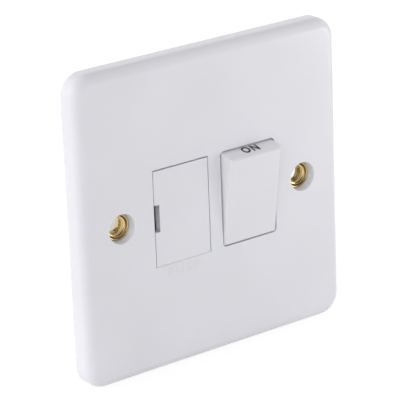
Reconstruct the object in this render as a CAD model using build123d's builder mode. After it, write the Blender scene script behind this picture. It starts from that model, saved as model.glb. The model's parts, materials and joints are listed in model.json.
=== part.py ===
"""Switched fused connection unit on a square wall plate, in millimetres.

X runs right seen from the front, Y runs into the wall and Z runs up.
The wall plane is Y = 0 and the origin is midway between the two fixing holes.
The unit is drawn switched on, with the fuse carrier closed.
"""

import os
from math import cos, radians, sin, sqrt, tan, tau

from build123d import *

# Face plate
plate_size = 86.0
plate_depth = 6.0
plate_corner_r = 6.0
plate_edge_r = 3.0
skin_t = 2.5
rim_t = 2.2
front_y = -plate_depth
skin_y = front_y + skin_t
plate_rib_t = 1.2
plate_rib_h = 2.0
plate_rib_pitch = 18.0

# Windows in the face
window_h = 27.0
rocker_window_w = 18.4
rocker_window_r = 1.2
rocker_x = 11.5
carrier_window_w = 18.2
carrier_x = -10.8
web_x = (carrier_x + carrier_window_w / 2 + rocker_x - rocker_window_w / 2) / 2

# Fixing holes and the dished earth strap behind them
fixing_pitch = 60.3
fixing_hole_r = 4.1
fixing_seat_r = 3.7
screw_hole_r = 2.1
strap_t = 0.8
strap_y = skin_y + strap_t
strap_leg_w = 8.0
strap_eye_r = 5.4
strap_bar_w = 7.0
dish_r = 3.5
dish_slope = 30.0
dish_depth = (dish_r - screw_hole_r) / tan(radians(dish_slope))
bush_t = 0.8
peg_w = 3.0
peg_h = 2.0
peg_x = 22.0
peg_proud = 0.9

# Bearings
pin_r = 0.8
pin_clear = 0.05
pin_length = 1.3
pocket_depth = 1.5
pad_size = 1.9
pad_t = 2.0
pad_y = skin_y + pad_t

# Rocker
rocker_gap = 0.3
rocker_pivot_y = front_y + 1.8
rocker_swing = 20.6
rocker_proud = 4.5
rocker_draft = 3.5
rocker_side_r = 1.7
rocker_edge_r = 0.9
rocker_corner_r = 1.4
rocker_wall = 1.5
rocker_skirt = 2.2
rocker_r = window_h / 2 - rocker_gap
rocker_half_w = rocker_window_w / 2 - rocker_gap
rocker_tilt = rocker_swing / 2
rocker_face = (rocker_proud / 2 - front_y + rocker_pivot_y) / cos(radians(rocker_tilt))
rocker_half_l = sqrt(rocker_r**2 - rocker_face**2)
pole_offset = 4.6
post_r = 2.4
post_end = 6.5
plunger_gap = 0.3
plunger_r = 1.6
plunger_nose_w = 0.9
plunger_seat = 3.5
bore_clear = 0.1
bore_top = 0.5
spring_r = 1.15
spring_wire = 0.4
spring_turns = 3
spring_sides = 10

# Fuse carrier, hinged on its right edge
carrier_gap = 0.22
carrier_drop = 0.15
carrier_edge_r = 0.6
carrier_t = 1.8
carrier_toe = 3.6
carrier_right = carrier_x + carrier_window_w / 2 - carrier_gap
barrel_r = 1.3
hinge_depth = 1.5
hinge_x = carrier_right - carrier_toe
hinge_y = front_y + hinge_depth
carrier_left = carrier_x - carrier_window_w / 2 + carrier_gap
carrier_half_h = window_h / 2 - carrier_gap
notch_w = 1.5
notch_h = 7.6
stop_length = 16.0
stop_t = 1.2
stop_h = 4.0
rib_z = 5.0
rib_t = 1.2
jaw_t = 1.3
jaw_mouth = 5.0

# Cartridge fuse
fuse_x = -12.0
fuse_y = front_y + 8.5
fuse_length = 25.4
tube_r = 2.92
cap_r = 3.175
cap_length = 6.0
fuse_clear = 0.03

# Rear housing
housing_side_gap = 0.25
housing_w = fixing_pitch - 2 * (strap_eye_r + housing_side_gap)
housing_h = 45.0
housing_corner_r = 2.5
housing_t = 1.8
housing_y = 18.0
floor_t = 2.0
floor_y = housing_y - floor_t
partition_t = 1.4
partition_y = pad_y + 0.4
pillar_r = 2.7
pillar_gap = 0.5
pillar_z = housing_h / 2 - housing_t - pillar_gap - pillar_r
partition_h = 2 * (pillar_z - pillar_r) - 2 * partition_t
pillar_hole_depth = 12.0
case_screw_r = 1.4
case_head_r = 2.6
case_head_h = 1.3
case_screw_length = 13.0

# Terminals
block_w = 7.0
block_h = 6.8
block_depth = 8.0
bore_r = 2.1
bore_below = 5.0
bore_end_t = 0.8
term_head_r = 2.1
term_head_h = 1.7
block_gap = 0.1
block_z = housing_h / 2 - housing_t - block_gap - block_h / 2
entry_w = 5.2
access_w = 4.8
fuse_terminal_x = -16.0
earth_rear_y = 8.0
earth_x = (-16.0, -6.0)
earth_gap = 3.1
strap_bar_z = housing_h / 2 + earth_gap + block_h / 2

# Current path
sheet_t = 0.7
strip_w = 3.4
leaf_gap = 0.3
leaf_z = 8.2
leaf_w = 3.4
leaf_half_angle = 80.0
strip_turn_x = -5.0
lever_t = 0.8
lever_w = 4.4
lever_y = 8.5
lever_upper = 9.6
lever_lower = 7.0
lever_ratio = 0.6
bead_r = 1.3
saddle_w = 4.0
saddle_h = 3.4
saddle_y = lever_y + 0.75
tip_w = 3.2
tip_h = 2.8
tip_t = 0.7
tip_z = 7.8
tip_gap = 0.1
lever_swing = lever_ratio * rocker_swing
plunger_reach = lever_y - lever_t / 2 - rocker_pivot_y - plunger_gap
lever_rear_y = lever_y + lever_t / 2
fixed_y = lever_rear_y + 2 * tip_t + tip_gap
fixed_end_z = tip_z - tip_h / 2 - 0.5
strip_y = floor_y - sheet_t
block_edge_z = block_z - block_h / 2
live_x = rocker_x - pole_offset
neutral_x = rocker_x + pole_offset

os.makedirs("parts", exist_ok=True)
standing = (Align.CENTER, Align.CENTER, Align.MIN)


def facing(y):
    """Plane parallel to the wall at depth y, drawn in X and Z, looking out of the wall."""
    return Plane.XZ.offset(-y)


def rocker_plane(x, out):
    """Plane across the rocker at height out above its pivot, with its normal out of the face."""
    tilt = radians(rocker_tilt)
    normal = Vector(0, -cos(tilt), -sin(tilt))
    return Plane(Vector(x, rocker_pivot_y, 0) + normal * out, x_dir=(1, 0, 0), z_dir=normal)


def rocker_cross(x):
    """Plane square to the rocker's length at x, drawn across it and out of its face."""
    face = rocker_plane(x, 0)
    return Plane(face.origin, x_dir=face.x_dir, z_dir=-face.y_dir)


def rocker_section(x):
    """Plane through the rocker at x, drawn along its length and out of its face."""
    tilt = radians(rocker_tilt)
    return Plane((x, rocker_pivot_y, 0), x_dir=(0, -sin(tilt), cos(tilt)), z_dir=(1, 0, 0))


# Moulded face plate with its windows, bearings and pillars
with BuildPart() as front_plate:
    with BuildSketch(facing(0)):
        RectangleRounded(plate_size, plate_size, plate_corner_r)
    extrude(amount=plate_depth)
    fillet(front_plate.faces().sort_by(Axis.Y)[0].edges(), plate_edge_r)
    with BuildSketch(facing(0)):
        RectangleRounded(plate_size - 2 * rim_t, plate_size - 2 * rim_t, plate_corner_r - rim_t)
    extrude(amount=-skin_y, mode=Mode.SUBTRACT)
    with BuildSketch(facing(skin_y)):
        with Locations((rocker_x, 0)):
            with GridLocations(rocker_window_w + pad_size, 0, 2, 1):
                Rectangle(pad_size, 2 * pad_size)
        with Locations((hinge_x, 0)):
            with GridLocations(0, window_h + pad_size, 1, 2):
                Rectangle(2 * barrel_r, pad_size)
    extrude(amount=-pad_t)
    with BuildSketch(facing(skin_y)):
        with Locations((0, -(plate_size + housing_h) / 4)):
            with GridLocations(plate_rib_pitch, 0, 3, 1):
                Rectangle(plate_rib_t, (plate_size - housing_h) / 2 - rim_t)
    extrude(amount=-plate_rib_h)
    with BuildSketch(facing(skin_y)):
        with Locations((rocker_x, 0)):
            RectangleRounded(rocker_window_w, window_h, rocker_window_r)
        with Locations((carrier_x, 0)):
            Rectangle(carrier_window_w, window_h)
    extrude(amount=skin_t, mode=Mode.SUBTRACT)
    with Locations(facing(skin_y)):
        with GridLocations(fixing_pitch, 0, 2, 1):
            Cone(fixing_seat_r, fixing_hole_r, skin_t, align=standing, mode=Mode.SUBTRACT)
    with BuildSketch(Plane.YZ.offset(rocker_x)):
        with Locations((rocker_pivot_y, 0)):
            Circle(pin_r + pin_clear)
    extrude(amount=rocker_window_w / 2 + pocket_depth, both=True, mode=Mode.SUBTRACT)
    with BuildSketch(Plane.XY):
        with Locations((hinge_x, hinge_y)):
            Circle(pin_r + pin_clear)
    extrude(amount=window_h / 2 + pocket_depth, both=True, mode=Mode.SUBTRACT)
    with BuildSketch(facing(skin_y)):
        with Locations((web_x, pillar_z), (web_x, -pillar_z)):
            Circle(pillar_r)
    extrude(amount=skin_y - floor_y)
    with BuildSketch(facing(floor_y)):
        with Locations((web_x, pillar_z), (web_x, -pillar_z)):
            Circle(case_screw_r + pin_clear)
    extrude(amount=pillar_hole_depth, mode=Mode.SUBTRACT)
    with BuildSketch(facing(skin_y)):
        with Locations((-peg_x, strap_bar_z), (peg_x, strap_bar_z)):
            Rectangle(peg_w, peg_h)
    extrude(amount=-strap_t - peg_proud)
front_plate.part.label = "front_plate"
export_step(front_plate.part, "parts/front_plate.step")

# Rear housing that closes the works
with BuildPart() as rear_housing:
    with BuildSketch(facing(housing_y)):
        RectangleRounded(housing_w, housing_h, housing_corner_r)
    extrude(amount=housing_y - skin_y)
    with BuildSketch(facing(floor_y)):
        RectangleRounded(housing_w - 2 * housing_t, housing_h - 2 * housing_t, housing_corner_r - housing_t)
    extrude(amount=floor_y - skin_y, mode=Mode.SUBTRACT)
    with BuildSketch(facing(floor_y)):
        with Locations((web_x, 0)):
            Rectangle(partition_t, partition_h)
    extrude(amount=floor_y - partition_y)
    with BuildSketch(facing(floor_y)):
        with Locations((web_x, 0)):
            Rectangle(2 * partition_t, strip_w + 2 * leaf_gap)
    extrude(amount=sheet_t + leaf_gap, mode=Mode.SUBTRACT)
    with BuildSketch(facing(floor_y)):
        with Locations((live_x, (fixed_end_z + block_edge_z) / 2)):
            Rectangle(lever_w, block_edge_z - fixed_end_z)
        with Locations((neutral_x, (fixed_end_z + block_edge_z) / 2)):
            Rectangle(lever_w, block_edge_z - fixed_end_z)
    extrude(amount=floor_y - fixed_y - sheet_t)
    with BuildSketch(facing(floor_y)):
        with Locations((rocker_x, block_z)):
            Rectangle(partition_t, block_h)
        with Locations((fuse_terminal_x, -block_z), (neutral_x, -block_z)):
            with GridLocations(block_w + 2 * block_gap + partition_t, 0, 2, 1):
                Rectangle(partition_t, block_h)
    extrude(amount=block_depth)
    with BuildSketch(facing(housing_y)):
        with Locations((web_x, pillar_z), (web_x, -pillar_z)):
            Circle(case_screw_r + 2 * bore_clear)
        with Locations((live_x, block_z), (neutral_x, block_z)):
            Rectangle(access_w, access_w)
        with Locations((fuse_terminal_x, -block_z), (neutral_x, -block_z)):
            Rectangle(access_w, access_w)
    extrude(amount=floor_t, mode=Mode.SUBTRACT)
    with BuildSketch(Plane.XY.offset(block_z)):
        with Locations((live_x, floor_y - bore_below), (neutral_x, floor_y - bore_below)):
            Rectangle(entry_w, entry_w)
    extrude(amount=housing_h / 2, mode=Mode.SUBTRACT)
    with BuildSketch(Plane.XY.offset(-block_z)):
        with Locations((fuse_terminal_x, floor_y - bore_below), (neutral_x, floor_y - bore_below)):
            Rectangle(entry_w, entry_w)
    extrude(amount=-housing_h / 2, mode=Mode.SUBTRACT)
rear_housing.part.label = "rear_housing"
export_step(rear_housing.part, "parts/rear_housing.step")

# Two screws that hold the housing to the plate's pillars
with BuildPart() as housing_screws:
    with BuildSketch(facing(housing_y)):
        with Locations((web_x, pillar_z), (web_x, -pillar_z)):
            Circle(case_head_r)
    extrude(amount=-case_head_h)
    with BuildSketch(facing(housing_y)):
        with Locations((web_x, pillar_z), (web_x, -pillar_z)):
            Circle(case_screw_r)
    extrude(amount=case_screw_length)
housing_screws.part.label = "housing_screws"
export_step(housing_screws.part, "parts/housing_screws.step")

# Brass strap with a dished bush at each fixing hole
with BuildPart() as earth_strap:
    with BuildSketch(facing(skin_y)) as strap_blank:
        with Locations((0, strap_bar_z)):
            Rectangle(fixing_pitch + strap_leg_w, strap_bar_w)
        with GridLocations(fixing_pitch, 0, 2, 1):
            Circle(strap_eye_r)
        with Locations((0, strap_bar_z / 2)):
            with GridLocations(fixing_pitch, 0, 2, 1):
                Rectangle(strap_leg_w, strap_bar_z)
        fillet(strap_blank.vertices().group_by(Axis.Z)[-1], strap_bar_w / 2)
        with Locations((-peg_x, strap_bar_z), (peg_x, strap_bar_z)):
            Rectangle(peg_w + 2 * bore_clear, peg_h + 2 * bore_clear, mode=Mode.SUBTRACT)
    extrude(amount=-strap_t)
    with BuildSketch(facing(skin_y)):
        with GridLocations(fixing_pitch, 0, 2, 1):
            Circle(dish_r + bush_t)
    extrude(amount=skin_y)
    with Locations(facing(skin_y + dish_depth)):
        with GridLocations(fixing_pitch, 0, 2, 1):
            Cone(screw_hole_r, dish_r, dish_depth, align=standing, mode=Mode.SUBTRACT)
    with BuildSketch(facing(0)):
        with GridLocations(fixing_pitch, 0, 2, 1):
            Circle(screw_hole_r)
    extrude(amount=-skin_y, mode=Mode.SUBTRACT)
earth_strap.part.label = "earth_strap"
export_step(earth_strap.part, "parts/earth_strap.step")

# Brass pillar terminal, drawn with its rear face on the wall plane and its mouth up
with BuildPart() as terminal_blank:
    with BuildSketch(facing(0)):
        Rectangle(block_w, block_h)
    extrude(amount=block_depth)
    with BuildSketch(Plane.XY.offset(block_h / 2)):
        with Locations((0, -bore_below)):
            Circle(bore_r)
    extrude(amount=bore_end_t - block_h, mode=Mode.SUBTRACT)

with BuildPart() as terminal_load_live:
    add(terminal_blank.part.moved(Location((live_x, floor_y, block_z))))
terminal_load_live.part.label = "terminal_load_live"
export_step(terminal_load_live.part, "parts/terminal_load_live.step")

with BuildPart() as terminal_load_neutral:
    add(terminal_blank.part.moved(Location((neutral_x, floor_y, block_z))))
terminal_load_neutral.part.label = "terminal_load_neutral"
export_step(terminal_load_neutral.part, "parts/terminal_load_neutral.step")

with BuildPart() as terminal_supply_live:
    add(terminal_blank.part.moved(Location((fuse_terminal_x, floor_y, -block_z), (0, 180, 0))))
terminal_supply_live.part.label = "terminal_supply_live"
export_step(terminal_supply_live.part, "parts/terminal_supply_live.step")

with BuildPart() as terminal_supply_neutral:
    add(terminal_blank.part.moved(Location((neutral_x, floor_y, -block_z), (0, 180, 0))))
terminal_supply_neutral.part.label = "terminal_supply_neutral"
export_step(terminal_supply_neutral.part, "parts/terminal_supply_neutral.step")

# Earth terminals stand on the strap, on a foot as deep as the strap lies low
with BuildPart() as terminal_earth_supply:
    add(terminal_blank.part.moved(Location((earth_x[0], earth_rear_y, strap_bar_z))))
    with BuildSketch(facing(strap_y)):
        with Locations((earth_x[0], strap_bar_z)):
            Rectangle(block_w, block_h)
    extrude(amount=strap_y - earth_rear_y + block_depth)
terminal_earth_supply.part.label = "terminal_earth_supply"
export_step(terminal_earth_supply.part, "parts/terminal_earth_supply.step")

with BuildPart() as terminal_earth_load:
    add(terminal_blank.part.moved(Location((earth_x[1], earth_rear_y, strap_bar_z))))
    with BuildSketch(facing(strap_y)):
        with Locations((earth_x[1], strap_bar_z)):
            Rectangle(block_w, block_h)
    extrude(amount=strap_y - earth_rear_y + block_depth)
terminal_earth_load.part.label = "terminal_earth_load"
export_step(terminal_earth_load.part, "parts/terminal_earth_load.step")

# Heads of the captive terminal screws, seated on their blocks
with BuildPart() as terminal_screws:
    with BuildSketch(facing(floor_y)):
        with Locations((live_x, block_z), (neutral_x, block_z)):
            Circle(term_head_r)
        with Locations((fuse_terminal_x, -block_z), (neutral_x, -block_z)):
            Circle(term_head_r)
    extrude(amount=-term_head_h)
    with BuildSketch(facing(earth_rear_y)):
        with Locations((earth_x[0], strap_bar_z), (earth_x[1], strap_bar_z)):
            Circle(term_head_r)
    extrude(amount=-term_head_h)
terminal_screws.part.label = "terminal_screws"
export_step(terminal_screws.part, "parts/terminal_screws.step")

# Tilt-out fuse carrier: slab, hinge barrel, jaws for the fuse and a stop arm
with BuildPart() as fuse_carrier:
    with BuildSketch(facing(front_y)):
        with Locations(((carrier_left + carrier_right) / 2, -carrier_drop)):
            Rectangle(carrier_right - carrier_left, 2 * carrier_half_h)
        with Locations((carrier_left, 0)):
            Rectangle(2 * notch_w, notch_h, mode=Mode.SUBTRACT)
    extrude(amount=-carrier_t)
    hinge_edges = fuse_carrier.edges().filter_by(Axis.Z).group_by(Axis.X)[-1]
    fillet(hinge_edges.sort_by(Axis.Y)[0], carrier_edge_r)
    with BuildSketch(Plane.XY.offset(-carrier_drop)):
        with Locations((hinge_x, hinge_y)):
            Circle(barrel_r)
    extrude(amount=carrier_half_h, both=True)
    with BuildSketch(Plane.XY):
        with Locations((hinge_x, hinge_y)):
            Circle(pin_r)
    extrude(amount=window_h / 2 + pin_length, both=True)
    with BuildSketch(Plane.XY):
        with Locations((hinge_x, hinge_y + stop_length / 2)):
            Rectangle(stop_t, stop_length)
    extrude(amount=stop_h / 2, both=True)
    for side in (-1, 1):
        with BuildSketch(Plane.XY.offset(side * rib_z)):
            with Locations((fuse_x, fuse_y)):
                Circle(tube_r + fuse_clear + jaw_t)
            with Locations((fuse_x, (front_y + carrier_t + fuse_y) / 2)):
                Rectangle(2 * (tube_r + fuse_clear + jaw_t), fuse_y - front_y - carrier_t)
            with Locations((fuse_x, fuse_y)):
                Circle(tube_r + fuse_clear, mode=Mode.SUBTRACT)
                Rectangle(jaw_mouth, 3 * cap_r, align=(Align.CENTER, Align.MIN), mode=Mode.SUBTRACT)
        extrude(amount=side * rib_t)
fuse_carrier.part.label = "fuse_carrier"
export_step(fuse_carrier.part, "parts/fuse_carrier.step")

# Cartridge fuse: ceramic tube and two plated caps
with BuildPart() as fuse_tube:
    with BuildSketch(Plane.XY):
        with Locations((fuse_x, fuse_y)):
            Circle(tube_r)
    extrude(amount=fuse_length / 2 - cap_length, both=True)
fuse_tube.part.label = "fuse_tube"
export_step(fuse_tube.part, "parts/fuse_tube.step")

with BuildPart() as fuse_cap_upper:
    with BuildSketch(Plane.XY.offset(fuse_length / 2)):
        with Locations((fuse_x, fuse_y)):
            Circle(cap_r)
    extrude(amount=-cap_length)
fuse_cap_upper.part.label = "fuse_cap_upper"
export_step(fuse_cap_upper.part, "parts/fuse_cap_upper.step")

with BuildPart() as fuse_cap_lower:
    add(fuse_cap_upper.part.mirror(Plane.XY))
fuse_cap_lower.part.label = "fuse_cap_lower"
export_step(fuse_cap_lower.part, "parts/fuse_cap_lower.step")

# Leaf contacts that cup the fuse caps on the side the carrier swings away from
leaf_r = cap_r + leaf_gap
leaf_aim = Vector(fuse_y - hinge_y, hinge_x - fuse_x, 0).get_signed_angle(Vector(1, 0, 0), Vector(0, 0, -1))
leaf_start = leaf_aim - leaf_half_angle

with BuildPart() as fuse_contact_upper:
    with BuildSketch(Plane.XY.offset(leaf_z)):
        with BuildLine():
            inner = CenterArc((fuse_x, fuse_y), leaf_r, leaf_start, 2 * leaf_half_angle)
            outer = CenterArc((fuse_x, fuse_y), leaf_r + sheet_t, leaf_start, 2 * leaf_half_angle)
            Line(inner @ 0, outer @ 0)
            Line(inner @ 1, outer @ 1)
        make_face()
        with Locations((fuse_x, fuse_y + leaf_r + sheet_t / 2)):
            Rectangle(sheet_t, floor_y - fuse_y - leaf_r - sheet_t / 2, align=(Align.CENTER, Align.MIN))
    extrude(amount=leaf_w)
    with BuildSketch(facing(floor_y)):
        with Locations((fuse_x - sheet_t / 2, leaf_z)):
            Rectangle(
                strip_turn_x + strip_w / 2 - fuse_x + sheet_t / 2, leaf_w, align=(Align.MIN, Align.MIN)
            )
        with Locations((strip_turn_x, -strip_w / 2)):
            Rectangle(strip_w, leaf_z + leaf_w + strip_w / 2, align=(Align.CENTER, Align.MIN))
        with Locations((strip_turn_x, 0)):
            Rectangle(
                live_x + saddle_w / 2 - strip_turn_x, strip_w, align=(Align.MIN, Align.CENTER)
            )
    extrude(amount=sheet_t)
fuse_contact_upper.part.label = "fuse_contact_upper"
export_step(fuse_contact_upper.part, "parts/fuse_contact_upper.step")

with BuildPart() as fuse_contact_lower:
    with BuildSketch(Plane.XY.offset(-leaf_z)):
        with BuildLine():
            inner = CenterArc((fuse_x, fuse_y), leaf_r, leaf_start, 2 * leaf_half_angle)
            outer = CenterArc((fuse_x, fuse_y), leaf_r + sheet_t, leaf_start, 2 * leaf_half_angle)
            Line(inner @ 0, outer @ 0)
            Line(inner @ 1, outer @ 1)
        make_face()
        with Locations((fuse_x, fuse_y + leaf_r + sheet_t / 2)):
            Rectangle(sheet_t, floor_y - fuse_y - leaf_r - sheet_t / 2, align=(Align.CENTER, Align.MIN))
    extrude(amount=-leaf_w)
    with BuildSketch(facing(floor_y)):
        with Locations((fuse_x + sheet_t / 2, -leaf_z)):
            Rectangle(
                fuse_x + sheet_t / 2 - fuse_terminal_x + strip_w / 2, leaf_w, align=(Align.MAX, Align.MAX)
            )
        with Locations((fuse_terminal_x, -leaf_z)):
            Rectangle(strip_w, block_edge_z - leaf_z, align=(Align.CENTER, Align.MAX))
    extrude(amount=sheet_t)
fuse_contact_lower.part.label = "fuse_contact_lower"
export_step(fuse_contact_lower.part, "parts/fuse_contact_lower.step")

# Rocker: a hollow paddle on two pins with a plunger post over each pole
with BuildPart() as rocker:
    with BuildSketch(rocker_cross(rocker_x)) as rocker_width:
        with Locations((0, -rocker_skirt)):
            Trapezoid(
                2 * rocker_half_w,
                rocker_face + rocker_skirt,
                90 - rocker_draft,
                align=(Align.CENTER, Align.MIN),
            )
        fillet(rocker_width.vertices().sort_by(Axis.Y)[-2:], rocker_side_r)
    extrude(amount=window_h, both=True)
    with BuildSketch(rocker_section(rocker_x)) as rocker_length:
        with BuildLine():
            skirt_l = sqrt(rocker_r**2 - rocker_skirt**2)
            Line((-rocker_half_l, rocker_face), (rocker_half_l, rocker_face))
            ThreePointArc((rocker_half_l, rocker_face), (rocker_r, 0), (skirt_l, -rocker_skirt))
            Line((skirt_l, -rocker_skirt), (-skirt_l, -rocker_skirt))
            ThreePointArc((-skirt_l, -rocker_skirt), (-rocker_r, 0), (-rocker_half_l, rocker_face))
        make_face()
        fillet(rocker_length.vertices().sort_by(Axis.Y)[-2:], rocker_edge_r)
    extrude(amount=rocker_window_w, both=True, mode=Mode.INTERSECT)
    with BuildSketch(rocker_plane(rocker_x, 0)):
        RectangleRounded(2 * (rocker_half_w + bore_clear), 2 * (rocker_r + bore_clear), rocker_corner_r)
    extrude(amount=rocker_r, both=True, mode=Mode.INTERSECT)
    with BuildSketch(rocker_section(rocker_x)):
        with BuildLine():
            inner_r = rocker_r - rocker_wall
            inner_face = rocker_face - rocker_wall
            inner_l = sqrt(inner_r**2 - inner_face**2)
            inner_skirt_l = sqrt(inner_r**2 - rocker_skirt**2)
            Line((-inner_l, inner_face), (inner_l, inner_face))
            ThreePointArc((inner_l, inner_face), (inner_r, 0), (inner_skirt_l, -rocker_skirt))
            Line((inner_skirt_l, -rocker_skirt), (-inner_skirt_l, -rocker_skirt))
            ThreePointArc((-inner_skirt_l, -rocker_skirt), (-inner_r, 0), (-inner_l, inner_face))
        make_face()
    extrude(amount=rocker_half_w - rocker_wall, both=True, mode=Mode.SUBTRACT)
    with BuildSketch(rocker_plane(rocker_x, -post_end)):
        with GridLocations(2 * pole_offset, 0, 2, 1):
            Circle(post_r)
    extrude(amount=post_end + rocker_face - rocker_wall)
    with BuildSketch(rocker_plane(rocker_x, -post_end)):
        with GridLocations(2 * pole_offset, 0, 2, 1):
            Circle(plunger_r + bore_clear)
    extrude(amount=post_end + bore_top, mode=Mode.SUBTRACT)
    with BuildSketch(Plane.YZ.offset(rocker_x - rocker_window_w / 2 - pin_length)):
        with Locations((rocker_pivot_y, 0)):
            Circle(pin_r)
    extrude(amount=pin_length + rocker_gap + rocker_wall)
    with BuildSketch(Plane.YZ.offset(rocker_x + rocker_window_w / 2 + pin_length)):
        with Locations((rocker_pivot_y, 0)):
            Circle(pin_r)
    extrude(amount=-pin_length - rocker_gap - rocker_wall)
rocker.part.label = "rocker"
export_step(rocker.part, "parts/rocker.step")

# Sprung plungers in the posts, each with a wedge nose
with BuildPart() as plunger_live:
    with BuildSketch(rocker_plane(live_x, -plunger_reach)):
        Circle(plunger_r)
    extrude(amount=plunger_reach - plunger_seat)
    with BuildSketch(rocker_section(live_x)):
        with BuildLine():
            Polyline(
                (-plunger_nose_w / 2, -plunger_reach),
                (plunger_nose_w / 2, -plunger_reach),
                (plunger_nose_w / 2 + plunger_reach, 0),
                (-plunger_nose_w / 2 - plunger_reach, 0),
                close=True,
            )
        make_face()
    extrude(amount=post_r, both=True, mode=Mode.INTERSECT)
plunger_live.part.label = "plunger_live"
export_step(plunger_live.part, "parts/plunger_live.step")

with BuildPart() as plunger_neutral:
    add(plunger_live.part.moved(Location((2 * pole_offset, 0, 0))))
plunger_neutral.part.label = "plunger_neutral"
export_step(plunger_neutral.part, "parts/plunger_neutral.step")

# Compression springs behind the plungers
spring_height = plunger_seat + bore_top - spring_wire - 2 * fuse_clear
spring_low = -plunger_seat + spring_wire / 2 + fuse_clear

with BuildPart() as spring_live:
    spring_seat = rocker_plane(live_x, spring_low)
    coil_points = []
    for step in range(spring_turns * spring_sides + 1):
        turn = tau * step / spring_sides
        rise = spring_height * step / (spring_turns * spring_sides)
        coil_points.append((spring_r * cos(turn), spring_r * sin(turn), rise))
    with BuildLine(spring_seat):
        coil = Polyline(*coil_points)
    with BuildSketch(Plane(coil @ 0, x_dir=spring_seat.x_dir, z_dir=coil % 0)):
        Rectangle(spring_wire, spring_wire)
    sweep(path=coil, transition=Transition.RIGHT, is_frenet=True)
spring_live.part.label = "spring_live"
export_step(spring_live.part, "parts/spring_live.step")

with BuildPart() as spring_neutral:
    add(spring_live.part.moved(Location((2 * pole_offset, 0, 0))))
spring_neutral.part.label = "spring_neutral"
export_step(spring_neutral.part, "parts/spring_neutral.step")

# Rocking contact levers, bent to a shallow vee over their saddles
with BuildPart() as moving_contact_live:
    with BuildSketch(Plane.YZ.offset(live_x)):
        with Locations((lever_y, 0)):
            Circle(bead_r)
        with Locations(Location((lever_y, 0, 0), (0, 0, -lever_swing / 2))):
            Rectangle(2 * bead_r, 3 * bead_r, align=(Align.MAX, Align.CENTER), mode=Mode.SUBTRACT)
        with Locations((lever_y, 0)):
            Rectangle(lever_t, lever_upper, align=(Align.CENTER, Align.MIN))
        with Locations(Location((lever_y, 0, 0), (0, 0, -lever_swing))):
            Rectangle(lever_t, lever_lower, align=(Align.CENTER, Align.MAX))
    extrude(amount=lever_w / 2, both=True)
moving_contact_live.part.label = "moving_contact_live"
export_step(moving_contact_live.part, "parts/moving_contact_live.step")

with BuildPart() as moving_contact_neutral:
    add(moving_contact_live.part.moved(Location((2 * pole_offset, 0, 0))))
moving_contact_neutral.part.label = "moving_contact_neutral"
export_step(moving_contact_neutral.part, "parts/moving_contact_neutral.step")

# Silver contact bars
with BuildPart() as moving_tips:
    with BuildSketch(facing(lever_rear_y)):
        with Locations((live_x, tip_z), (neutral_x, tip_z)):
            Rectangle(tip_w, tip_h)
    extrude(amount=-tip_t)
moving_tips.part.label = "moving_tips"
export_step(moving_tips.part, "parts/moving_tips.step")

with BuildPart() as fixed_tips:
    with BuildSketch(facing(fixed_y)):
        with Locations((live_x, tip_z), (neutral_x, tip_z)):
            Rectangle(tip_w, tip_h)
    extrude(amount=tip_t)
fixed_tips.part.label = "fixed_tips"
export_step(fixed_tips.part, "parts/fixed_tips.step")

# Fixed contacts run from their tips to the load terminals
with BuildPart() as fixed_contact_live:
    with BuildSketch(facing(fixed_y)):
        with Locations((live_x, fixed_end_z)):
            Rectangle(saddle_w, block_edge_z - fixed_end_z, align=(Align.CENTER, Align.MIN))
    extrude(amount=-sheet_t)
fixed_contact_live.part.label = "fixed_contact_live"
export_step(fixed_contact_live.part, "parts/fixed_contact_live.step")

with BuildPart() as fixed_contact_neutral:
    add(fixed_contact_live.part.moved(Location((2 * pole_offset, 0, 0))))
fixed_contact_neutral.part.label = "fixed_contact_neutral"
export_step(fixed_contact_neutral.part, "parts/fixed_contact_neutral.step")

# Saddles that carry the levers and feed them
with BuildPart() as saddle_live:
    with BuildSketch(facing(strip_y)):
        with Locations((live_x, 0)):
            Rectangle(saddle_w, saddle_h)
    extrude(amount=strip_y - saddle_y)
    with BuildSketch(Plane.YZ.offset(live_x)):
        with Locations((lever_y, 0)):
            Circle(bead_r + pin_clear)
    extrude(amount=saddle_w, both=True, mode=Mode.SUBTRACT)
saddle_live.part.label = "saddle_live"
export_step(saddle_live.part, "parts/saddle_live.step")

with BuildPart() as saddle_neutral:
    add(saddle_live.part.moved(Location((2 * pole_offset, 0, 0))))
    with BuildSketch(facing(floor_y)):
        with Locations((neutral_x, saddle_h / 2)):
            Rectangle(strip_w, saddle_h / 2 + block_edge_z, align=(Align.CENTER, Align.MAX))
    extrude(amount=sheet_t)
saddle_neutral.part.label = "saddle_neutral"
export_step(saddle_neutral.part, "parts/saddle_neutral.step")
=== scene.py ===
"""Dressed scene of the switched fused connection unit, in metres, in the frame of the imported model."""

import json
from math import cos, pi, radians, sin, sqrt, tau

import bmesh
import bpy
from mathutils import Matrix, Vector


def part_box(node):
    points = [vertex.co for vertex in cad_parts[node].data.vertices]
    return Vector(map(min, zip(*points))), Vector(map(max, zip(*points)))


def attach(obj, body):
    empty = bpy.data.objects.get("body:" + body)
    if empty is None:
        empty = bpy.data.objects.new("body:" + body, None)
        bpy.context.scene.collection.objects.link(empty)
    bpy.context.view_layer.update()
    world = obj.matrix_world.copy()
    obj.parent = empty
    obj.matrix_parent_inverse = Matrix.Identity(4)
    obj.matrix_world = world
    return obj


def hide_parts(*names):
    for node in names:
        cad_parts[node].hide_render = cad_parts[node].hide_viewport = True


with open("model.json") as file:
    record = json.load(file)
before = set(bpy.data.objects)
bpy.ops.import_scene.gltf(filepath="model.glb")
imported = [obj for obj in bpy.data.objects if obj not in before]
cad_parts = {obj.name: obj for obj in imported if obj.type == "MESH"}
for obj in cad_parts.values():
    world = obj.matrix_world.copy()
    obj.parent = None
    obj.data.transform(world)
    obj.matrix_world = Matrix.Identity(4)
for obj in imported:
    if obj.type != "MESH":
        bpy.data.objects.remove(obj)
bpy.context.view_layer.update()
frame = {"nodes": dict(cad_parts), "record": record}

MM = 0.001

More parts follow.
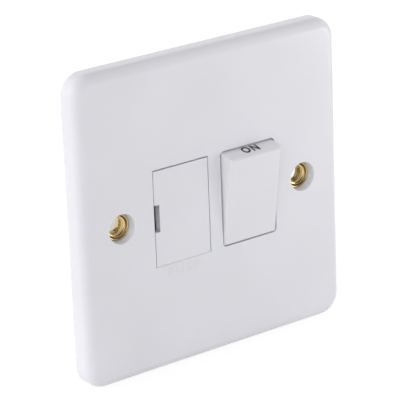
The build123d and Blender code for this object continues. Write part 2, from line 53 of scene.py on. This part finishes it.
# Mesh work: distance below which points are one, slack of a plane, angles between faces, and rounding
weld = 0.002 * MM
slack = 0.01 * MM
facing = 0.99
flat_angle = radians(0.5)
sharp_angle = radians(32)
flat_weight = 80
edge_segments = 3

# Radius that each moulding or pressing has along its edges
edge_radius = {
    "front_plate": 0.12 * MM,
    "rear_housing": 0.3 * MM,
    "fuse_carrier": 0.07 * MM,
    "rocker": 0.25 * MM,
    "earth_strap": 0.12 * MM,
    "fuse_tube": 0.1 * MM,
    "fuse_cap_upper": 0.4 * MM,
    "fuse_cap_lower": 0.4 * MM,
    "plunger_live": 0.15 * MM,
    "plunger_neutral": 0.15 * MM,
    "moving_tips": 0.2 * MM,
    "fixed_tips": 0.2 * MM,
}
terminal_edge = 0.35 * MM
sheet_edge = 0.1 * MM

# Carrier: rounding of its hinge edge in the solid, the flat drawn for it, and the undercut of its notch
hinge_round = 0.61 * MM
hinge_flat_w = 0.1 * MM
hinge_flat_depth = 0.3 * MM
notch_wall_from = 1.0 * MM
notch_wall_to = 2.0 * MM
notch_lip = 1.2 * MM
notch_undercut = 1.1 * MM
notch_ledge = 0.1 * MM

# Lower end of the rocker: where it starts, its edge against the solid's, and how full its sides are
low_end = 6.0 * MM
low_edge_share = 0.35
low_edge_reach = 0.7 * MM
low_edge_fade = 0.9 * MM
low_side_round = 1.7 * MM
low_side_square = 0.8
low_side_spread = 0.035

# Lining of the brass eyes: radii and depths from the mouth
eye_r = 3.66 * MM
rim_r = 0.22 * MM
bead_r = 0.1 * MM
bead_y = 0.95 * MM
throat_r = 2.3 * MM
throat_y = 2.0 * MM
eye_steps = 96

# Lettering: share of the font's size that a capital takes, and the printed word on the rocker
capital_share = 0.7
print_height = 2.62 * MM
print_rise = 0.05 * MM
print_weight = 0.125 * MM
print_spacing = 1.24
print_squeeze = 0.86
print_shift = -0.22 * MM
print_angle = radians(14.8)
print_bands = 10
print_cuts = 6

# Raised word on the face, and raised marks on the rear with their places as shares of the height
word_height = 2.6 * MM
word_rise = 0.08 * MM
word_spacing = 1.4
word_z = -15.8 * MM
pole_height = 2.6 * MM
pole_share = 0.76
side_height = 2.4 * MM
side_share = 0.4
mark_rise = 0.3 * MM
mark_weight = 0.08 * MM

# Screws and springs: shares of a shank's radius, places along the thread's pitch, slots and wire
thread_root = 0.86
thread_end = 0.6
thread_crest_at = 0.35
thread_root_at = 0.85
screw_sharp_angle = radians(30)
screw_steps = 48
term_shank_share = 0.8
term_shank_l = 0.3 * MM
term_slot_w = 0.8 * MM
term_slot_depth = 1.0 * MM
term_turn = radians(37)
case_shank_r = 1.4 * MM
case_slot_w = 0.9 * MM
case_slot_depth = 1.0 * MM
case_turn_upper = 0.4
case_turn_lower = 1.1
spring_wire_r = 0.2 * MM
spring_wire_steps = 3
spring_turns = 4.5
spring_length = 3.4 * MM
spring_steps = 24

# Materials: the part of a noise's range that they follow, and how far roughness strays from its middle
noise_from = 0.3
noise_to = 0.7
plastic_stray = 0.012
metal_stray = 0.05
plastic_ior = 1.49
plastic_cloud_depth = 0.8 * MM

# Studio: a light tent that is brightest on the left, with a dim roof and an opening at the front
floor_size = 20
floor_matt = 0.86
seen_matt = 0.24
seen_glow = 0.83
wall_left = 2.12
wall_right = 1.0
wall_span = 0.8
roof_glow = 0.4
roof_mirrored = 0.05
roof_from = 0.35
roof_full = 0.9
opening_glow = 0.5
opening_mirrored = 0.05
opening_axis = (0.15, -0.98, 0.12)
opening_from = 0.66
opening_full = 0.92
lamp_place = Vector((220, -150, 10)) * MM
lamp_size = 100 * MM
lamp_power = 0.126

# Camera: place, directions and focal length in pixels of the photograph
camera_place = Vector((-361.0, -490.3, 218.2)) * MM
camera_ahead = Vector((0.55742, 0.75804, -0.33862))
camera_up = Vector((0.23222, 0.24922, 0.94019))
focal_px = 2416.3
image_px = 400
sensor_mm = 36

# What the frame says about the solids
record = frame["record"]
slot_of = {part["node"]: part["material_slot"] for part in record["subparts"]}
body_of = {node: body for body, nodes in record["behaviour"]["bodies"].items() for node in nodes}
joint_of = {joint["name"]: joint for joint in record["behaviour"]["joints"]}
mount_of = {mount["name"]: mount for mount in record["mounts"]}
terminals = [node for node in slot_of if node.startswith("terminal_") and node != "terminal_screws"]
hole_spacing = mount_of["fixing_holes"]["dims"]["spacing_x_mm"] * MM
plate_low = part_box("front_plate")[0]
face_y = plate_low.y
housing_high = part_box("rear_housing")[1]
carrier_low, carrier_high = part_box("fuse_carrier")

# The rocker's pivot, the radius of its ends, and its own directions out of its face and along it
pivot = Vector(joint_of["rocker_tilt"]["pos_m"])
end_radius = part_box("rocker")[1].z
rocker_tilt = radians(joint_of["rocker_tilt"]["range_deg"][1] / 2)
rocker_out = Vector((0, -cos(rocker_tilt), -sin(rocker_tilt)))
rocker_along = Vector((0, -sin(rocker_tilt), cos(rocker_tilt)))


# Node helpers
def new_material(name):
    """An empty node material and its Principled shader."""
    material = bpy.data.materials.new(name)
    material.use_nodes = True
    return material, material.node_tree, material.node_tree.nodes["Principled BSDF"]


def noise(tree, scale, detail=3.0, stretch=(1, 1, 1)):
    """Noise over the object's own coordinates, stretched along its axes."""
    coordinates = tree.nodes.new("ShaderNodeTexCoord")
    mapping = tree.nodes.new("ShaderNodeMapping")
    mapping.inputs["Scale"].default_value = stretch
    texture = tree.nodes.new("ShaderNodeTexNoise")
    texture.inputs["Scale"].default_value = scale
    texture.inputs["Detail"].default_value = detail
    tree.links.new(coordinates.outputs["Object"], mapping.inputs["Vector"])
    tree.links.new(mapping.outputs["Vector"], texture.inputs["Vector"])
    return texture.outputs["Fac"]


def ranged(tree, source, start, end, low, high, easing="LINEAR"):
    """A value that goes from low to high while the source goes from start to end."""
    spread = tree.nodes.new("ShaderNodeMapRange")
    spread.interpolation_type = easing
    spread.inputs["From Min"].default_value = start
    spread.inputs["From Max"].default_value = end
    spread.inputs["To Min"].default_value = low
    spread.inputs["To Max"].default_value = high
    tree.links.new(source, spread.inputs["Value"])
    return spread.outputs["Result"]


def tint(tree, shader, source, low, high):
    """Base colour that runs from low to high with a noise."""
    ramp = tree.nodes.new("ShaderNodeValToRGB")
    ramp.color_ramp.elements[0].position = noise_from
    ramp.color_ramp.elements[0].color = (*low, 1)
    ramp.color_ramp.elements[1].position = noise_to
    ramp.color_ramp.elements[1].color = (*high, 1)
    tree.links.new(source, ramp.inputs["Fac"])
    tree.links.new(ramp.outputs["Color"], shader.inputs["Base Color"])


def rough(tree, shader, source, low, high):
    """Roughness that runs from low to high with a noise."""
    roughness = ranged(tree, source, noise_from, noise_to, low, high)
    tree.links.new(roughness, shader.inputs["Roughness"])


def grain(tree, shader, source, strength, depth):
    """Fine relief of a given depth."""
    bump = tree.nodes.new("ShaderNodeBump")
    bump.inputs["Strength"].default_value = strength
    bump.inputs["Distance"].default_value = depth
    tree.links.new(source, bump.inputs["Height"])
    tree.links.new(bump.outputs["Normal"], shader.inputs["Normal"])


# Materials
materials = {}


def moulded(name, low, high, gloss, texture_depth, cloud=0.4):
    """Moulded plastic with a slight mottle, a fine surface texture and some light passing through it."""
    materials[name], tree, shader = new_material(name)
    tint(tree, shader, noise(tree, scale=45), low, high)
    rough(tree, shader, noise(tree, scale=700, detail=2), gloss - plastic_stray, gloss + plastic_stray)
    grain(tree, shader, noise(tree, scale=600, detail=1), strength=0.1, depth=texture_depth)
    shader.inputs["IOR"].default_value = plastic_ior
    shader.inputs["Subsurface Weight"].default_value = cloud
    shader.inputs["Subsurface Radius"].default_value = (1, 1, 1)
    shader.inputs["Subsurface Scale"].default_value = plastic_cloud_depth


def metal(name, low, high, gloss, stretch, grain_depth):
    """Metal with drifting colour and drawn or turned marks along one axis."""
    materials[name], tree, shader = new_material(name)
    shader.inputs["Metallic"].default_value = 1.0
    tint(tree, shader, noise(tree, scale=160, detail=4), low, high)
    marks = noise(tree, scale=900, detail=5, stretch=stretch)
    rough(tree, shader, marks, gloss - metal_stray, gloss + metal_stray)
    grain(tree, shader, marks, strength=0.3, depth=grain_depth)


def glazed(name, low, high):
    """Ceramic with a thin glaze and faint specks."""
    materials[name], tree, shader = new_material(name)
    tint(tree, shader, noise(tree, scale=1500, detail=4), low, high)
    rough(tree, shader, noise(tree, scale=300), low=0.2, high=0.26)
    grain(tree, shader, noise(tree, scale=500, detail=2), strength=0.15, depth=0.02 * MM)
    shader.inputs["Coat Weight"].default_value = 0.4
    shader.inputs["Coat Roughness"].default_value = 0.12


def ink(name, low, high):
    """Printed ink, a little uneven."""
    materials[name], tree, shader = new_material(name)
    patches = noise(tree, scale=2200)
    tint(tree, shader, patches, low, high)
    rough(tree, shader, patches, low=0.45, high=0.6)


# Plastics: darkest and lightest colour, roughness, depth of texture and share of light passing through
moulded("white_plastic", (0.765, 0.766, 0.805), (0.795, 0.796, 0.838), 0.25, 0.003 * MM)
moulded("raised_white", (0.765, 0.766, 0.805), (0.795, 0.796, 0.838), 0.25, 0.003 * MM, cloud=0.0)
moulded("rocker_white", (0.776, 0.777, 0.804), (0.802, 0.803, 0.83), 0.25, 0.003 * MM)
moulded("housing_plastic", (0.60, 0.60, 0.59), (0.65, 0.65, 0.64), 0.55, 0.02 * MM, cloud=0.1)
moulded("nylon", (0.80, 0.78, 0.71), (0.86, 0.84, 0.77), 0.5, 0.01 * MM)

# Metals: darkest and lightest colour, roughness, stretch of the marks and their depth
metal("strap_brass", (0.63, 0.475, 0.225), (0.735, 0.58, 0.31), 0.11, (1, 6, 1), 0.001 * MM)
metal("terminal_brass", (0.64, 0.48, 0.22), (0.74, 0.58, 0.30), 0.21, (8, 1, 1), 0.002 * MM)
metal("screw_brass", (0.68, 0.53, 0.27), (0.78, 0.63, 0.36), 0.2, (1, 1, 9), 0.006 * MM)
metal("plated_steel", (0.55, 0.55, 0.53), (0.66, 0.66, 0.63), 0.34, (1, 1, 9), 0.006 * MM)
metal("plated_cap", (0.58, 0.57, 0.54), (0.70, 0.69, 0.65), 0.16, (1, 1, 5), 0.003 * MM)
metal("contact_copper", (0.66, 0.42, 0.24), (0.76, 0.54, 0.32), 0.34, (1, 1, 10), 0.006 * MM)
metal("spring_steel", (0.42, 0.42, 0.43), (0.56, 0.56, 0.56), 0.34, (1, 9, 1), 0.004 * MM)
metal("silver", (0.80, 0.80, 0.79), (0.90, 0.90, 0.89), 0.2, (6, 1, 1), 0.003 * MM)

# Ceramic and ink: darkest and lightest colour
glazed("ceramic", (0.80, 0.78, 0.71), (0.88, 0.86, 0.80))
ink("letter_ink", (0.012, 0.012, 0.014), (0.035, 0.035, 0.04))


# Pieces
def added(name, data):
    """A new object of the scene."""
    item = bpy.data.objects.new(name, data)
    bpy.context.scene.collection.objects.link(item)
    return item


def piece_of(name, bm):
    """A mesh object made from bmesh geometry."""
    mesh = bpy.data.meshes.new(name)
    bm.to_mesh(mesh)
    bm.free()
    return added(name, mesh)


def shown_mesh(item):
    """The mesh of an object with its modifiers, or of a curve or a text."""
    bpy.context.view_layer.update()
    graph = bpy.context.evaluated_depsgraph_get()
    return bpy.data.meshes.new_from_object(item.evaluated_get(graph))


def mesh_of(name, curve):
    """The mesh that a curve or a text makes."""
    maker = added(name, curve)
    mesh = shown_mesh(maker)
    bpy.data.objects.remove(maker)
    return mesh


def place(piece, body, slot, *nodes, material=None):
    """Puts a piece on its body with the nodes that it stands for, in its slot's material or another."""
    piece.data.materials.clear()
    piece.data.materials.append(materials[material or slot])
    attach(piece, body)
    if nodes:
        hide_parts(*nodes)


def middle_of(node):
    """Middle of a node's box."""
    low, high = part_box(node)
    return (low + high) / 2


def refine_carrier(bm):
    """Draws the hinge edge as the flat that clears the window as it swings, and undercuts the notch."""
    for vert in bm.verts:
        from_side = carrier_high.x - vert.co.x
        from_face = vert.co.y - face_y
        if max(from_side, from_face) < hinge_round:
            on_face = from_face < from_side
            vert.co.x = carrier_high.x - (hinge_flat_w if on_face else 0)
            vert.co.y = face_y + (0 if on_face else hinge_flat_depth)
    bmesh.ops.remove_doubles(bm, verts=bm.verts, dist=weld)
    bm.normal_update()
    left_faces = [face for face in bm.faces if face.normal.x < -facing]
    walls = [
        face
        for face in left_faces
        if notch_wall_from < face.calc_center_median().x - carrier_low.x < notch_wall_to
    ]
    pocket = bmesh.ops.extrude_discrete_faces(bm, faces=walls)["faces"]
    for vert in pocket[0].verts:
        vert.co.x += notch_undercut
        vert.co.y += notch_lip if vert.co.y - face_y < notch_lip else -notch_ledge
    bm.normal_update()


def refine_rocker(bm):
    """Draws the lower end fuller than the solid: a sharper edge, a squarer right and a wider left."""
    face = max((vert.co - pivot).dot(rocker_out) for vert in bm.verts)
    corner = Vector((-sqrt(end_radius**2 - face**2), face))
    lower = [vert for vert in bm.verts if (vert.co - pivot).dot(rocker_along) < -low_end]
    front = [vert for vert in lower if (vert.co - pivot).dot(rocker_out) > face - slack]
    front_right = max(vert.co.x - pivot.x for vert in front)
    shoulder = face - low_side_round
    for vert in lower:
        offset = vert.co - pivot
        across = offset.x
        spot = Vector((offset.dot(rocker_along), offset.dot(rocker_out)))
        fade = ((spot - corner).length - low_edge_reach) / low_edge_fade
        share = low_edge_share + (1 - low_edge_share) * min(max(fade, 0), 1)
        over = Vector((across - front_right, spot.y - shoulder))
        if over.x > 0 and over.y > 0:
            square = over.length / max(over.x, over.y)
            over *= 1 + low_side_square * (square - 1)
            across = front_right + over.x
            spot.y = shoulder + over.y
        elif across < 0 and spot.y > 0:
            across *= 1 + low_side_spread * spot.y / face
        spot = corner + (spot - corner) * share
        vert.co = pivot + Vector((across, 0, 0)) + rocker_along * spot.x + rocker_out * spot.y


def soften(node, radius):
    """Stands in for a node with rounded edges, after the finer forms of the carrier and the rocker."""
    bm = bmesh.new()
    bm.from_mesh(frame["nodes"][node].data)
    bmesh.ops.remove_doubles(bm, verts=bm.verts, dist=weld)
    bmesh.ops.dissolve_limit(bm, angle_limit=flat_angle, verts=bm.verts, edges=bm.edges)
    if node == "fuse_carrier":
        refine_carrier(bm)
    if node == "rocker":
        refine_rocker(bm)
    joined = [edge for edge in bm.edges if len(edge.link_faces) == 2]
    bmesh.ops.bevel(
        bm,
        geom=[edge for edge in joined if edge.calc_face_angle() > sharp_angle],
        offset=radius,
        offset_type="OFFSET",
        segments=edge_segments,
        profile=0.5,
        affect="EDGES",
        clamp_overlap=True,
    )
    piece = piece_of(node + "_finished", bm)
    piece.data.shade_smooth()
    weighted = piece.modifiers.new("weighted", "WEIGHTED_NORMAL")
    weighted.weight = flat_weight
    material = "rocker_white" if node == "rocker" else None
    place(piece, body_of[node], slot_of[node], node, material=material)


def lettering(name, words, height, thickness, weight, spacing):
    """Mesh of the words, centred on the XY plane and facing +Z."""
    curve = bpy.data.curves.new(name, "FONT")
    curve.body = words
    curve.align_x = "CENTER"
    curve.align_y = "CENTER"
    curve.size = height / capital_share
    curve.extrude = thickness / 2
    curve.offset = weight
    curve.space_character = spacing
    mesh = mesh_of(name, curve)
    bm = bmesh.new()
    bm.from_mesh(mesh)
    bpy.data.meshes.remove(mesh)
    bmesh.ops.remove_doubles(bm, verts=bm.verts, dist=weld)
    return bm


def raised(name, words, centre, right, slot, height, rise, weight=0.0, spacing=1.0, material=None):
    """Raised words on an upright face of the base, where right is the way that they are read."""
    bm = lettering(name, words, height, 2 * rise, weight, spacing)
    up = Vector((0, 0, 1))
    upright = Matrix((right, up, right.cross(up))).transposed().to_4x4()
    bm.transform(Matrix.Translation(centre) @ upright)
    place(piece_of(name, bm), "base", slot, material=material)


def rear_mark(name, words, x, z, height):
    """Raised letters on the housing's rear."""
    centre = Vector((x, housing_high.y, z))
    right = Vector((-1, 0, 0))
    raised(name, words, centre, right, "housing_plastic", height, mark_rise, mark_weight)


def ring(bm, radius, y, steps):
    """Points of a circle about Y."""
    angles = [tau * i / steps for i in range(steps)]
    return [bm.verts.new((radius * cos(angle), y, radius * sin(angle))) for angle in angles]


def turned(profile, steps):
    """Solid of revolution about Y from (radius, y) pairs that start and end on the axis."""
    bm = bmesh.new()
    rings = [ring(bm, radius, y, steps) for radius, y in profile[1:-1]]
    first = bm.verts.new((0, profile[0][1], 0))
    last = bm.verts.new((0, profile[-1][1], 0))
    for i in range(steps):
        j = (i + 1) % steps
        bm.faces.new((first, rings[0][i], rings[0][j]))
        bm.faces.new((last, rings[-1][j], rings[-1][i]))
        for inner, outer in zip(rings, rings[1:]):
            bm.faces.new((inner[j], inner[i], outer[i], outer[j]))
    bmesh.ops.recalc_face_normals(bm, faces=bm.faces)
    return bm


def lathe(outline, steps):
    """Closed ring about Y from a closed outline of (radius, y) pairs."""
    bm = bmesh.new()
    rings = [ring(bm, radius, y, steps) for radius, y in outline]
    for here, there in zip(rings, rings[1:] + rings[:1]):
        for i in range(steps):
            j = (i + 1) % steps
            bm.faces.new((here[i], there[i], there[j], here[j]))
    bmesh.ops.recalc_face_normals(bm, faces=bm.faces)
    return bm


def arc(centre_r, centre_y, radius, start, end, steps):
    """Points of an arc in (radius, y), with angles in degrees from the outward radius towards +Y."""
    angles = [radians(start + (end - start) * i / steps) for i in range(steps + 1)]
    return [(centre_r + radius * cos(angle), centre_y + radius * sin(angle)) for angle in angles]


def eye_outline():
    """Section of the lining: rolled rim, flared mouth, fine bead and a throat into the screw hole."""
    rim = arc(eye_r - rim_r, 0, rim_r, start=20, end=-225, steps=18)
    bead = arc(throat_r + bead_r, bead_y, bead_r, start=-45, end=-180, steps=8)
    throat = [(throat_r, throat_y), (throat_r + bead_r / 2, throat_y)]
    return rim + bead + throat + [(eye_r - rim_r, bead_y / 2)]


def cut(piece, width, depth, length, top, turn):
    """Cuts a screwdriver slot of a given depth into the top of a head that faces +Y."""
    bm = bmesh.new()
    bmesh.ops.create_cube(bm, size=1)
    bm.transform(Matrix.Diagonal((length, 2 * depth, width, 1)))
    cutter = piece_of("cutter", bm)
    cutter.matrix_world = Matrix.Translation((0, top, 0)) @ Matrix.Rotation(turn, 4, "Y")
    boolean = piece.modifiers.new("slot", "BOOLEAN")
    boolean.object = cutter
    boolean.operation = "DIFFERENCE"
    boolean.solver = "EXACT"
    mesh = shown_mesh(piece)
    piece.modifiers.clear()
    piece.data = mesh
    bpy.data.objects.remove(cutter)


def screw(name, seat, head_r, head_h, shank_r, shank_l, slot_w, slot_depth, turns):
    """A screw along Y with its head towards +Y, and a slot in the head for each turn."""
    edge = head_h / 4
    profile = [(0, head_h), (head_r - edge, head_h), (head_r, head_h - edge), (head_r, edge / 3)]
    profile += [(head_r - edge / 3, 0), (shank_r, 0)]
    pitch = shank_r / 3
    for i in range(int(shank_l / pitch)):
        profile.append((shank_r, -pitch * (i + thread_crest_at)))
        profile.append((shank_r * thread_root, -pitch * (i + thread_root_at)))
    profile += [(shank_r * thread_end, -shank_l), (0, -shank_l)]
    piece = piece_of(name, turned(profile, screw_steps))
    for turn in turns:
        cut(piece, slot_w, slot_depth, 3 * head_r, head_h, turn)
    piece.data.shade_smooth()
    piece.data.set_sharp_from_angle(angle=screw_sharp_angle)
    piece.data.transform(Matrix.Translation(seat))
    return piece


def spring(node):
    """Round wire wound about the rocker's outward direction, in place of a node."""
    low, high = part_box(node)
    middle = middle_of(node)
    coil_r = (high.x - low.x) / 2 - spring_wire_r
    curve = bpy.data.curves.new(node + "_coil", "CURVE")
    curve.dimensions = "3D"
    curve.bevel_depth = spring_wire_r
    curve.bevel_resolution = spring_wire_steps
    spline = curve.splines.new("POLY")
    steps = int(spring_turns * spring_steps)
    spline.points.add(steps)
    for i in range(steps + 1):
        turn = tau * spring_turns * i / steps
        point = middle + Vector((coil_r * cos(turn), 0, 0)) + rocker_along * coil_r * sin(turn)
        point += rocker_out * spring_length * (i / steps - 0.5)
        spline.points[i].co = (*point, 1)
    piece = added(node + "_coil", mesh_of(node + "_maker", curve))
    piece.data.shade_smooth()
    place(piece, "rocker", "spring_steel", node)


# Softened stand-ins for the solids
for node, slot in slot_of.items():
    if node in terminals:
        edge_radius[node] = terminal_edge
    elif slot == "contact_copper":
        edge_radius[node] = sheet_edge
for node, radius in edge_radius.items():
    soften(node, radius)

# Rolled rim, flare and bead inside each brass eye
mouth_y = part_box("earth_strap")[0].y
for name, x in (("eye_lining_left", -hole_spacing / 2), ("eye_lining_right", hole_spacing / 2)):
    lining = lathe(eye_outline(), eye_steps)
    lining.transform(Matrix.Translation((x, mouth_y, 0)))
    piece = piece_of(name, lining)
    piece.data.shade_smooth()
    place(piece, "base", "strap_brass")

# ON on the rocker's upper end, cut into bands and wrapped round the pivot
on_mark = lettering("on_mark", "ON", print_height, print_rise, print_weight, print_spacing)
for step in range(-print_cuts, print_cuts + 1):
    bmesh.ops.bisect_plane(
        on_mark,
        geom=on_mark.verts[:] + on_mark.edges[:] + on_mark.faces[:],
        plane_co=(0, step * print_height / print_bands, 0),
        plane_no=(0, 1, 0),
    )
for vert in on_mark.verts:
    reach = end_radius + vert.co.z
    angle = print_angle - vert.co.y / end_radius
    across = print_shift + print_squeeze * vert.co.x
    vert.co = pivot + Vector((across, -reach * sin(angle), reach * cos(angle)))
place(piece_of("on_mark", on_mark), "rocker", "white_plastic", material="letter_ink")

# Raised words
raised(
    "fuse_mark",
    "FUSE",
    Vector((middle_of("fuse_carrier").x, face_y, word_z)),
    Vector((1, 0, 0)),
    "white_plastic",
    word_height,
    word_rise,
    spacing=word_spacing,
    material="raised_white",
)
for circuit in ("load", "supply"):
    for pole, letter in (("live", "L"), ("neutral", "N")):
        middle = middle_of(f"terminal_{circuit}_{pole}")
        rear_mark(f"mark_{circuit}_{pole}", letter, middle.x, middle.z * pole_share, pole_height)
for name, words, node, share in (
    ("mark_load", "LOAD", "rocker", side_share),
    ("mark_supply", "SUPPLY", "fuse_carrier", -side_share),
):
    rear_mark(name, words, middle_of(node).x, housing_high.z * share, side_height)

# Terminal screws
screws_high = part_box("terminal_screws")[1]
term_head_h = screws_high.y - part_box("terminal_load_live")[1].y
term_head_r = screws_high.z - middle_of("terminal_earth_load").z
for index, node in enumerate(terminals):
    middle = middle_of(node)
    piece = screw(
        "screw_of_" + node,
        Vector((middle.x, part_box(node)[1].y, middle.z)),
        term_head_r,
        term_head_h,
        term_head_r * term_shank_share,
        term_shank_l,
        term_slot_w,
        term_slot_depth,
        [term_turn * index],
    )
    place(piece, "base", "screw_brass", "terminal_screws")

# Cross-slotted screws of the housing
case_low, case_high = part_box("housing_screws")
case_head_r = (case_high.x - case_low.x) / 2
for name, z, turn in (
    ("case_screw_upper", case_high.z - case_head_r, case_turn_upper),
    ("case_screw_lower", case_low.z + case_head_r, case_turn_lower),
):
    piece = screw(
        name,
        Vector((middle_of("housing_screws").x, housing_high.y, z)),
        case_head_r,
        case_high.y - housing_high.y,
        case_shank_r,
        housing_high.y - case_low.y,
        case_slot_w,
        case_slot_depth,
        [turn, turn + pi / 2],
    )
    place(piece, "base", "plated_steel", "housing_screws")

# Springs in the rocker's posts
for node in ("spring_live", "spring_neutral"):
    spring(node)


# Studio helpers
def matt_card(tree, matt):
    """Matt white or grey card."""
    diffuse = tree.nodes.new("ShaderNodeBsdfDiffuse")
    diffuse.inputs["Color"].default_value = (matt, matt, matt, 1)
    return diffuse.outputs[0]


def glowing_card(tree, matt, glow):
    """Matt card that also gives off an even light."""
    emission = tree.nodes.new("ShaderNodeEmission")
    emission.inputs["Strength"].default_value = glow
    both = tree.nodes.new("ShaderNodeAddShader")
    tree.links.new(matt_card(tree, matt), both.inputs[0])
    tree.links.new(emission.outputs[0], both.inputs[1])
    return both.outputs[0]


def backdrop(tree, strength):
    """White light from the sky."""
    light = tree.nodes.new("ShaderNodeBackground")
    light.inputs["Color"].default_value = (1, 1, 1, 1)
    light.inputs["Strength"].default_value = strength
    return light


def blend(tree, factor, first, second):
    """Mix of two shaders."""
    mix = tree.nodes.new("ShaderNodeMixShader")
    tree.links.new(factor, mix.inputs["Fac"])
    tree.links.new(first, mix.inputs[1])
    tree.links.new(second, mix.inputs[2])
    return mix.outputs[0]


def either(tree, first, second):
    """One where either of two values is one."""
    larger = tree.nodes.new("ShaderNodeMath")
    larger.operation = "MAXIMUM"
    tree.links.new(first, larger.inputs[0])
    tree.links.new(second, larger.inputs[1])
    return larger.outputs["Value"]


def ray_kinds(tree):
    """One for rays from the camera, and one for rays from a glossy surface or through a clear one."""
    path = tree.nodes.new("ShaderNodeLightPath").outputs
    return path["Is Camera Ray"], either(tree, path["Is Glossy Ray"], path["Is Transmission Ray"])


def panel(tree, from_gloss, glow, shown):
    """Part of the tent that lights the object with one strength and shows in gloss with another."""
    return blend(tree, from_gloss, backdrop(tree, glow).outputs[0], backdrop(tree, shown).outputs[0])


# Floor: a matt card that lights the object, and the white that the camera and gloss see
floor_material, floor_tree, floor_shader = new_material("studio_floor")
floor_tree.nodes.remove(floor_shader)
floor_mix = blend(
    floor_tree,
    either(floor_tree, *ray_kinds(floor_tree)),
    matt_card(floor_tree, floor_matt),
    glowing_card(floor_tree, seen_matt, seen_glow),
)
floor_tree.links.new(floor_mix, floor_tree.nodes["Material Output"].inputs["Surface"])
floor_grid = bmesh.new()
bmesh.ops.create_grid(floor_grid, x_segments=1, y_segments=1, size=floor_size)
floor = piece_of("studio_floor", floor_grid)
floor.data.transform(Matrix.Translation((0, 0, plate_low.z)))
floor.data.materials.append(floor_material)

# Sky: the tent by direction, as it lights the object, as gloss sees it, and white for the camera
world = bpy.data.worlds.new("studio")
bpy.context.scene.world = world
world.use_nodes = True
sky = world.node_tree
sky.nodes.remove(sky.nodes["Background"])
towards = sky.nodes.new("ShaderNodeTexCoord").outputs["Generated"]
heading = sky.nodes.new("ShaderNodeSeparateXYZ")
sky.links.new(towards, heading.inputs["Vector"])
facing_opening = sky.nodes.new("ShaderNodeVectorMath")
facing_opening.operation = "DOT_PRODUCT"
facing_opening.inputs[1].default_value = opening_axis
sky.links.new(towards, facing_opening.inputs[0])
from_camera, from_gloss = ray_kinds(sky)
white = backdrop(sky, 1.0).outputs[0]
walls = backdrop(sky, 1.0)
wall_light = ranged(sky, heading.outputs["X"], -wall_span, wall_span, wall_left, wall_right, "SMOOTHSTEP")
sky.links.new(wall_light, walls.inputs["Strength"])
overhead = ranged(sky, heading.outputs["Z"], roof_from, roof_full, 0, 1, "SMOOTHSTEP")
inside = ranged(sky, facing_opening.outputs["Value"], opening_from, opening_full, 0, 1, "SMOOTHSTEP")
sides = blend(sky, from_gloss, walls.outputs[0], white)
roof = panel(sky, from_gloss, roof_glow, roof_mirrored)
opening = panel(sky, from_gloss, opening_glow, opening_mirrored)
tent = blend(sky, overhead, sides, roof)
around = blend(sky, inside, tent, opening)
sky_mix = blend(sky, from_camera, around, white)
sky.links.new(sky_mix, sky.nodes["World Output"].inputs["Surface"])

# Lamp at the front right, about level with the middle of the object
lamp_data = bpy.data.lights.new("low_lamp", "AREA")
lamp_data.size = lamp_size
lamp_data.energy = lamp_power
lamp = added("low_lamp", lamp_data)
lamp_aim = (-lamp_place).to_track_quat("-Z", "Y").to_matrix().to_4x4()
lamp.matrix_world = Matrix.Translation(lamp_place) @ lamp_aim

# Camera at the photograph's angle
camera_data = bpy.data.cameras.new("camera")
camera_data.sensor_width = sensor_mm
camera_data.lens = focal_px / image_px * sensor_mm
camera = added("camera", camera_data)
camera_right = camera_ahead.cross(camera_up).normalized()
camera_upright = camera_right.cross(camera_ahead).normalized()
camera_aim = Matrix((camera_right, camera_upright, -camera_ahead.normalized())).transposed().to_4x4()
camera.matrix_world = Matrix.Translation(camera_place) @ camera_aim
bpy.context.scene.camera = camera
bpy.context.scene.view_settings.view_transform = "Standard"
